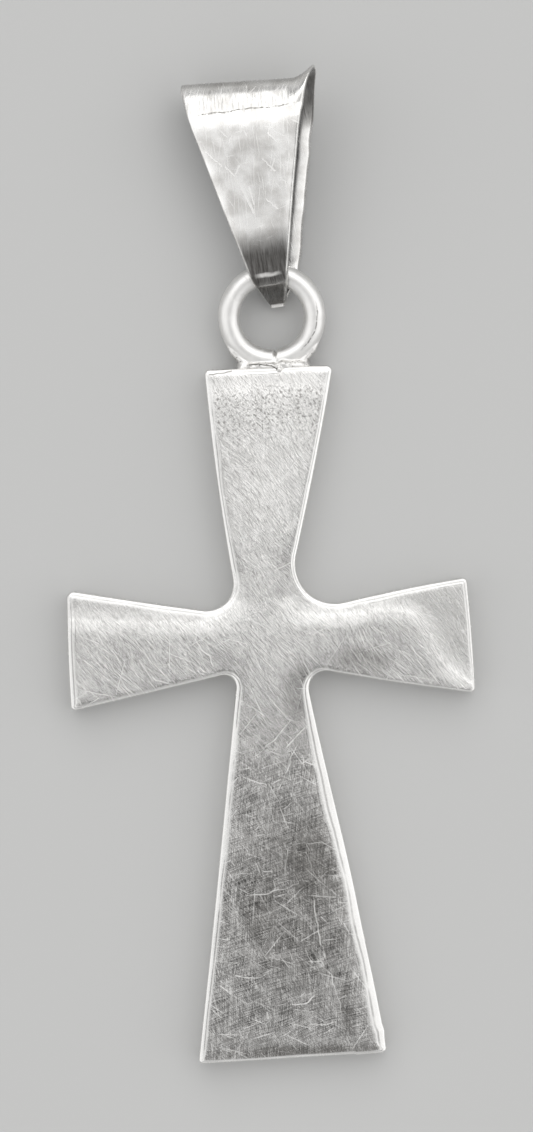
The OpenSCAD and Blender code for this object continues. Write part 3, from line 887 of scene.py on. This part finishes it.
# The middle of the strap's thickness, seen from the side: back leaf, fold, front leaf, crease, tip.
# The crease is a short flat between two bends, which lie CREASE_UP and CREASE_DOWN from its middle.
LEAF_STEP, CREASE_STEP, BEND_STEP, TIP_STEP = 0.35, 0.25, 0.04, 0.15
mid = STRAP_T / 2
leaf_slope = (FOLD[1] + FOLD_HIGH - CREASE[1]) / (FOLD[0] - CREASE[0])
leaf_turn = math.pi / 2 + math.atan(leaf_slope * FOLD_LONG / FOLD_HIGH)
fold_turns = np.linspace(-math.pi / 2, leaf_turn, 40)
fold = [FOLD + ((FOLD_LONG - mid) * math.cos(a), (FOLD_HIGH - mid) * math.sin(a)) for a in fold_turns]
tip_in = unit(np.array([(CREASE - TIP)[1], -(CREASE - TIP)[0]]))
crease_mid = CREASE + mid * unit(tip_in + unit(np.array([leaf_slope, -1])))
tip_end = np.array([TIP[0] + TIP_FLAT - 0.1, TIP[1] - mid])
corners = [fold[-1], crease_mid + CREASE_UP * unit(fold[-1] - crease_mid),
           crease_mid + CREASE_DOWN * unit(tip_end - crease_mid), tip_end, tip_end - (TIP_FLAT, 0)]
strap = line(np.array([TIP[0], mid]), fold[0], LEAF_STEP) + fold[:-1]
reached = fold[-1]
for before, corner, after in zip(corners, corners[1:], corners[2:]):
    start, end, centre = corner_round(before, corner, after, CREASE_ROUND)
    strap += line(reached, start, CREASE_STEP) + arc(centre, CREASE_ROUND, start, end, BEND_STEP)
    reached = end
strap += line(reached, corners[-1], TIP_STEP) + [corners[-1]]

# The tree sweeps a flat section, 2 mm wide and with rounded edges, along that path and spreads it to
# its width. The outer tenth on each side moves as one, so that the edges keep their round.
EDGES_AS_ONE = 1.111
sheet_silver, sheet_tree = new_finish("rolled_silver_sheet")
strap_sizes = {"Thickness": STRAP_T, "Tip width": TIP_W, "Neck width": NECK_W, "Top width": TOP_W,
               "Tip place": TIP[0], "Neck place": CREASE[0], "Top place": FOLD[0] + FOLD_LONG,
               "Edge round": 0.13}
tree, size = sized_tree("folded_strap", strap_sizes)
path = add(tree, "GeometryNodeMeshToCurve", {"Mesh": size["Geometry"]})
run = add(tree, "GeometryNodeSplineParameter").outputs["Length"]
path = add(tree, "GeometryNodeStoreNamedAttribute", {"Geometry": path, "Name": "along", "Value": run},
           data_type="FLOAT")
section = add(tree, "GeometryNodeCurvePrimitiveQuadrilateral", {"Width": 2.0,
              "Height": size["Thickness"]})
section = add(tree, "GeometryNodeFilletCurve", {"Curve": section, "Count": 5,
              "Radius": size["Edge round"]}, mode="POLY")
section = add(tree, "GeometryNodeResampleCurve", {"Curve": section, "Count": 150}, mode="COUNT")
skin = add(tree, "ShaderNodeSeparateXYZ", {0: add(tree, "GeometryNodeInputPosition")}).outputs["Y"]
section = add(tree, "GeometryNodeStoreNamedAttribute", {"Geometry": section, "Name": "skin",
              "Value": skin}, data_type="FLOAT")
sheet = add(tree, "GeometryNodeCurveToMesh",
            {"Curve": path, "Profile Curve": section, "Fill Caps": True})
part = add(tree, "ShaderNodeSeparateXYZ", {0: add(tree, "GeometryNodeInputPosition")}).outputs
to_neck = add(tree, "ShaderNodeMapRange", {"Value": part["Y"], "From Min": size["Tip place"],
              "From Max": size["Neck place"], "To Min": size["Tip width"],
              "To Max": size["Neck width"]})
to_top = add(tree, "ShaderNodeMapRange", {"Value": part["Y"], "From Min": size["Neck place"],
             "From Max": size["Top place"], "To Min": size["Neck width"],
             "To Max": size["Top width"]})
past_neck = add(tree, "ShaderNodeMath", {0: part["Y"], 1: size["Neck place"]},
                operation="GREATER_THAN")
wide = add(tree, "ShaderNodeMix", {0: past_neck, 2: to_neck, 3: to_top})
spread = add(tree, "ShaderNodeMath", {0: wide, 1: 0.5, 2: -1.0}, operation="MULTIPLY_ADD")
side = add(tree, "ShaderNodeMath", {0: part["X"], 1: EDGES_AS_ONE}, operation="MULTIPLY")
side = add(tree, "ShaderNodeClamp", {"Value": side, "Min": -1.0, "Max": 1.0})
shift = add(tree, "ShaderNodeCombineXYZ", {"X": combined(tree, "MULTIPLY", [spread, side])})
flared = add(tree, "GeometryNodeSetPosition", {"Geometry": sheet, "Offset": shift})
real = add(tree, "GeometryNodeRealizeInstances", {"Geometry": flared})
finished = add(tree, "GeometryNodeSetMaterial", {"Geometry": real, "Material": sheet_silver})
add(tree, "NodeGroupOutput", {0: finished})
base = bpy.data.meshes.new("strap_path")
base.from_pydata([(0, y, z) for y, z in strap], [(i, i + 1) for i in range(len(strap) - 1)], [])
bail_mesh = grown(tree, base, strap_sizes)
bail_mesh.name = "bail_strap"

# Hand shaping: the front leaf is crowned and its edges curl up, the back leaf's right edge droops
# and is ragged, the fold lies askew, its right end is drawn out to an ear, and both leaves are
# buckled and dented a little
CROWN = 0.03
SKEW = 0.095
EAR_UP, EAR_OUT, EAR_REACH = 0.80, 0.32, 0.30
DROOP, DROOP_W = 0.38, 0.85
CURL, CURL_W = 0.045, 0.45
TIP_ASIDE = 0.27
CREASE_LEAN = 0.02
BUCKLE, BUCKLE_LONG = 0.030, 2.8
DENT, DENT_LONG = 0.010, 1.1
RAGGED, RAGGED_LONG = 0.15, 1.5
spots = spots_of(bail_mesh)
along, skin = (np.empty(len(bail_mesh.vertices), np.float32) for _ in range(2))
bail_mesh.attributes["along"].data.foreach_get("value", along)
bail_mesh.attributes["skin"].data.foreach_get("value", skin)
x, y, z = spots.T
half = np.where(y < CREASE[0], TIP_W + (NECK_W - TIP_W) * (y - TIP[0]) / (CREASE[0] - TIP[0]),
                NECK_W + (TOP_W - NECK_W) * (y - CREASE[0]) / (FOLD[0] + FOLD_LONG - CREASE[0])) / 2
share = x / half
front = along > (fold_turns[-1] - fold_turns[0]) * 0.75 * (FOLD_HIGH + FOLD_LONG) / 2 + FOLD[0]
in_leaf = ease((FOLD[0] + 0.6 - y) / 2.4)
outward = np.where(front, 1.0, -1.0)
turn = np.clip((y - FOLD[0]) / FOLD_LONG, 0, 1)
shaped = spots.copy()
shaped[:, 2] -= outward * CROWN * np.abs(share) ** 3.5 * in_leaf * np.where(front | (x > 0), 1, 0)
in_band = np.clip(1 - (half - x) / DROOP_W, 0, 1) * np.where(front, 0, 1)
shaped[:, 2] -= DROOP * in_band ** 1.5 * ease((y - 1.5) / 2) * ease((FOLD[0] + 2.4 - y) / 1.6)
curl = np.clip(1 - (half - np.abs(x)) / CURL_W, 0, 1) ** 2 * np.where(front, 1, 0) * ease((y - 3) / 2)
shaped[:, 2] += CURL * curl * np.sign(x) * in_leaf
shaped[:, 1] -= SKEW * x * ease((y - 6) / 6)
ear = np.clip((share - 1 + EAR_REACH) / EAR_REACH, 0, 1) ** 2 * ease(turn * 1.3)
shaped[:, 1] += EAR_UP * ear
shaped[:, 0] += EAR_OUT * ear
shaped[:, 1] += CREASE_LEAN * x * ease(1 - np.abs(y - CREASE[0]) / 1.2) * front
shaped[:, 0] -= TIP_ASIDE * ease((CREASE[0] - y) / 1.6)
for i, (a, b, side) in enumerate(zip(x, y, outward)):
    buckled = BUCKLE * wave(a, b, BUCKLE_LONG, side * 3.1)
    shaped[i, 2] += buckled + DENT * wave(a, b, DENT_LONG, side * 5.7)
    if side < 0 and share[i] > 0.5:
        shaped[i, 0] += RAGGED * (share[i] - 0.5) * 2 * wave(0, b, RAGGED_LONG, 6.4)
bail_mesh.vertices.foreach_set("co", shaped.astype(np.float32).ravel())

# Painted shade: dark inside the loop, but for the lit band along the back leaf's right edge, and on
# the front leaf from 4 mm above the crease down to the tip, but for its edges. A lighter painted
# shade lies on the middle of the rest of the front leaf and along the fold's end.
outer = np.sign(skin[(z < 0.01) & (y < FOLD[0])].mean())
lit_edge_band = ease(in_band * 3.5 - 0.7) * ease((FOLD[0] + 1.0 - y) / 1.2)
inside = ease(0.5 - skin * outer / 0.2) * (1 - 0.92 * lit_edge_band)
at_tip = np.where(front, ease((CREASE[0] + 4.0 - y) / 2.4), 0)
at_tip = at_tip * (1 - 0.18 * ease((CREASE[0] - y) / 0.4))
at_tip *= 1 - 0.75 * ease(np.abs(share) * 9 - 7.8)
leaf_middle_shade = np.where(front, 0.14, 0) * ease((0.95 - np.abs(share)) / 0.5) * ease((FOLD[0] - 0.3 - y) / 0.8)
apex = 0.42 * ease((turn - 0.86) / 0.1) * ease(skin * outer / 0.2)
note(bail_mesh, "across", x)
note(bail_mesh, "painted_shade", np.maximum.reduce([inside * 0.9, at_tip, leaf_middle_shade, apex]))
shaper = bmesh.new()
shaper.from_mesh(bail_mesh)
bmesh.ops.remove_doubles(shaper, verts=shaper.verts, dist=1e-5)
bmesh.ops.recalc_face_normals(shaper, faces=shaper.faces)
shaper.to_mesh(bail_mesh)
shaper.free()
yaw, pitch, roll = (Matrix.Rotation(math.radians(a), 4, axis)
                    for a, axis in ((BAIL_YAW, "Z"), (BAIL_PITCH, "X"), (-BAIL_ROLL, "Y")))
bail_mesh.transform(to_crossing @ Matrix.Translation(BAIL_TIP) @ yaw @ pitch @ roll)
bail_mesh.shade_smooth()
bail = put("bail_strap", bail_mesh)

# Rolled silver sheet, bent cold: bright, drawn into fine lengthwise streaks that open up over the
# fold, with a dotted line where the fold starts, and with scratches from wear, painted lighter as a
# highlight. Shade is painted dark inside the loop, towards the tip and over the front leaf, except
# on the crease's bends and on the tip's end, where highlights are painted.
tree = sheet_tree
run = add(tree, "ShaderNodeAttribute", attribute_name="along").outputs["Fac"]
cross = add(tree, "ShaderNodeAttribute", attribute_name="across").outputs["Fac"]
place = add(tree, "ShaderNodeCombineXYZ", {"X": cross, "Y": run})
front_fold = float(along[front & (y < FOLD[0])].min())
crease_run = float(along[front & (y > CREASE[0])].max())
from_fold = add(tree, "ShaderNodeMath", {0: run, 1: front_fold}, operation="SUBTRACT")
past_fold = add(tree, "ShaderNodeMath", {0: from_fold, 1: 1.9}, operation="ADD")
long = add(tree, "ShaderNodeMapping", {"Vector": place, "Scale": (9.0, 0.9, 1)})
streak = add(tree, "ShaderNodeTexNoise", {"Vector": long, "Scale": 1.0, "Detail": 3.0, "Roughness": 0.6})
deep = add(tree, "ShaderNodeMapping", {"Vector": place, "Scale": (8.0, 0.9, 1)})
crack = add(tree, "ShaderNodeTexNoise", {"Vector": deep, "Scale": 1.0, "Detail": 2.0})
crack = add(tree, "ShaderNodeMapRange", {"Value": crack, "From Min": 0.50, "From Max": 0.62})
crack = combined(tree, "MULTIPLY", [crack, soft_band(tree, past_fold, 0.2, 0.9)])

# The dots stand in a row that wanders across the strap and stops short of its edges
DOTS_FROM_FOLD = -1.30
wander = add(tree, "ShaderNodeTexNoise", {"Vector": place, "Scale": 0.9})
row = summed(tree, [(wander, 0.3), (cross, 0.055)], from_fold)
row = add(tree, "ShaderNodeMath", {0: row, 1: DOTS_FROM_FOLD}, operation="SUBTRACT")
dotted = add(tree, "ShaderNodeTexNoise", {"Vector": place, "Scale": 5.0})
dots = add(tree, "ShaderNodeMapRange", {"Value": dotted, "From Min": 0.30, "From Max": 0.52})
off_middle = add(tree, "ShaderNodeMath", {0: cross}, operation="ABSOLUTE")
held = add(tree, "ShaderNodeMapRange", {"Value": off_middle, "From Min": 3.2, "From Max": 2.7})
dots = combined(tree, "MULTIPLY", [dots, soft_band(tree, row, 0.01, 0.08), held])
STRAP_MARKS = (
    Hairline(97, 12, 2.4, 0.28, 0.045, 2.4, "all"),
    Hairline(60, 75, 0.9, 0.60, 0.045, 2.8, "all"),
)

# Scratches on the front leaf, in mm across it and from where the fold starts
LEAF_SCRATCHES = (
    Scratch(0.060, 9.0, ((-1.65, 2.1), (-1.15, 2.7), (-0.75, 2.1))),
    Scratch(0.055, 8.0, ((0.8, 1.8), (1.5, 2.7))),
    Scratch(0.055, 7.0, ((1.55, 1.9), (1.25, 2.6))),
    Scratch(0.060, 8.0, ((1.4, 0.2), (2.0, 0.85))),
    Scratch(0.100, 14.0, ((-0.85, 3.4), (-0.55, 4.3), (-0.30, 5.1))),
    Scratch(0.060, 9.0, ((-0.35, 3.4), (-0.20, 4.6))),
    Scratch(0.055, 8.0, ((0.65, 4.4), (1.3, 5.1))),
    Scratch(0.050, 7.0, ((-2.8, 1.1), (-1.9, 2.0))),
)
leaf_place = add(tree, "ShaderNodeCombineXYZ", {
    "X": cross, "Y": summed(tree, [(dotted, 0.3)], from_fold)})
pressed = add(tree, "ShaderNodeMapRange", {"Value": wander, "From Min": 0.38, "From Max": 0.6,
              "To Min": 0.3, "To Max": 1.0})
scored = summed(tree, [(scratches(tree, leaf_place, LEAF_SCRATCHES), pressed)],
                hairlines(tree, place, STRAP_MARKS, {}))
cloud = add(tree, "ShaderNodeTexNoise", {"Vector": place, "Scale": 0.8, "Detail": 3.0})
cloud = add(tree, "ShaderNodeMapRange", {"Value": cloud, "From Min": 0.36, "From Max": 0.64})
# The scratches are painted lighter than the leaf around them, a painted highlight
scratch_highlight = add(tree, "ShaderNodeMapRange", {"Value": scored, "From Max": 3.0})
hidden = add(tree, "ShaderNodeMath", {0: crack, 1: 0.35}, operation="MULTIPLY")
hidden = combined(tree, "MAXIMUM", [hidden, dots])

# Painted highlights along the strap, where the painted shade gives way: the crease's two bends and
# the tip's end. Each has its half width in mm and how much of the painted shade it lifts.
short = add(tree, "ShaderNodeMapRange", {"Value": off_middle, "From Min": 0.95, "From Max": 0.45})
lit_parts = []
for spot, wide, gone in ((crease_run - 0.68, 0.13, 0.9), (crease_run - 0.05, 0.08, 0.4),
                         (float(along.max()), 0.34, 1.0)):
    lit_part = summed(tree, [(wander, 0.3)], run)
    lit_part = add(tree, "ShaderNodeMath", {0: lit_part, 1: spot + 0.15}, operation="SUBTRACT")
    lit_parts.append(combined(tree, "MULTIPLY", [soft_band(tree, lit_part, 0.0, wide, gone), short]))
lit_lines = combined(tree, "MAXIMUM", lit_parts)
unlit = add(tree, "ShaderNodeMath", {0: 1.0, 1: lit_lines}, operation="SUBTRACT")
cover = add(tree, "ShaderNodeMapRange", {"Value": streak, "From Min": 0.3, "From Max": 0.7,
            "To Min": 0.84, "To Max": 1.0})
# The painted shade darkens the colour, less where highlights are painted, and a little unevenly along
# the streaks
dark = add(tree, "ShaderNodeAttribute", attribute_name="painted_shade").outputs["Fac"]
dark = combined(tree, "MULTIPLY", [dark, unlit, cover])
shade = tinted(tree, linear("#F9F8F6"), (
    (cloud, "#D8D6D3"), (scratch_highlight, "#FCFBF9"), (hidden, "#85837F"), (dark, "#42403E")))
marked = add(tree, "ShaderNodeMapRange", {"Value": scored, "From Max": 1.6, "To Max": 0.26})
rough = add(tree, "ShaderNodeMapRange", {"Value": streak, "From Min": 0.3, "From Max": 0.7,
            "To Min": 0.14, "To Max": 0.34})
rough = summed(tree, [(lit_lines, 0.2)], combined(tree, "ADD", [rough, marked]))
relief = summed(tree, [(streak, 2.4), (scored, -1.0), (crack, -3.0), (dots, -5.0)])
bare_metal(tree, shade, rough, relief)
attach(bail, "root")
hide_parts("bail")

# The studio
# A plain pale floor under large soft lights, with the lens straight above as for a close-up.
floor_mesh = bpy.data.meshes.new("floor")
floor_mesh.from_pydata([(-3, -3, 0), (3, -3, 0), (3, 3, 0), (-3, 3, 0)], [], [(0, 1, 2, 3)])
floor = put("floor", floor_mesh)
card = bpy.data.materials.new("pale_card")
card.use_nodes = True
card.node_tree.nodes["Principled BSDF"].inputs["Base Color"].default_value = linear("#BEBEBD")
card.node_tree.nodes["Principled BSDF"].inputs["Roughness"].default_value = 0.7
floor_mesh.materials.append(card)

world = bpy.data.worlds.new("studio")
bpy.context.scene.world = world
world.use_nodes = True
sky = world.node_tree
sky.nodes.clear()
facing = add(sky, "ShaderNodeTexCoord").outputs["Generated"]
rise = add(sky, "ShaderNodeSeparateXYZ", {0: facing}).outputs["Z"]
lights = [add(sky, "ShaderNodeMapRange", {"Value": rise, "From Max": 0.85, "To Min": 0.55,
              "To Max": 0.055})]

# Softboxes as soft round patches of the sky: the side they stand on, their angle from straight
# above, the angles at which they start and end to fade, and their strength
Softbox = namedtuple("Softbox", "side fall inner outer power")
SOFTBOXES = (
    Softbox(90, 36, 36.5, 38.5, 0.81),
    Softbox(90, 40, 31, 36.5, 0.60),
    Softbox(90, 0.0, 0.5, 3.8, 0.44),
    Softbox(186, 50, 14, 45, 0.92),
    Softbox(0, 52, 22, 45, 1.05),
    Softbox(270, 46, 28, 41.5, 0.50),
)
for box in SOFTBOXES:
    side, fall, inner, outer = (math.radians(angle) for angle in box[:4])
    middle = (math.sin(fall) * math.cos(side), math.sin(fall) * math.sin(side), math.cos(fall))
    near = add(sky, "ShaderNodeVectorMath", {0: facing, 1: middle}, operation="DOT_PRODUCT")
    lights.append(add(sky, "ShaderNodeMapRange", {
        "Value": near.outputs["Value"], "From Min": math.cos(outer), "From Max": math.cos(inner),
        "To Max": box.power,
    }, interpolation_type="SMOOTHSTEP"))
glow = add(sky, "ShaderNodeBackground", {"Color": linear("#FFFFFF"),
           "Strength": combined(sky, "ADD", lights)})
add(sky, "ShaderNodeOutputWorld", {"Surface": glow})

# The lens stands straight above the middle of the picture, turned as the cross lies turned in it
MM_PER_PIXEL = 0.0638
PICTURE_H = 1132
LENS_HEIGHT = 225.0
PICTURE_MIDDLE = (-0.10, 0.18)
CROSS_TURN = 2.2
camera = bpy.data.cameras.new("lens")
camera.sensor_width = 36
camera.lens = camera.sensor_width * LENS_HEIGHT / (MM_PER_PIXEL * PICTURE_H)
camera.clip_start = 0.01
viewer = put("lens", camera)
viewer.location = (PICTURE_MIDDLE[0] * MM, PICTURE_MIDDLE[1] * MM, (PLATE_T + LENS_HEIGHT) * MM)
viewer.rotation_euler = (0, 0, -math.radians(CROSS_TURN))
bpy.context.scene.camera = viewer
bpy.context.scene.view_settings.view_transform = "Standard"
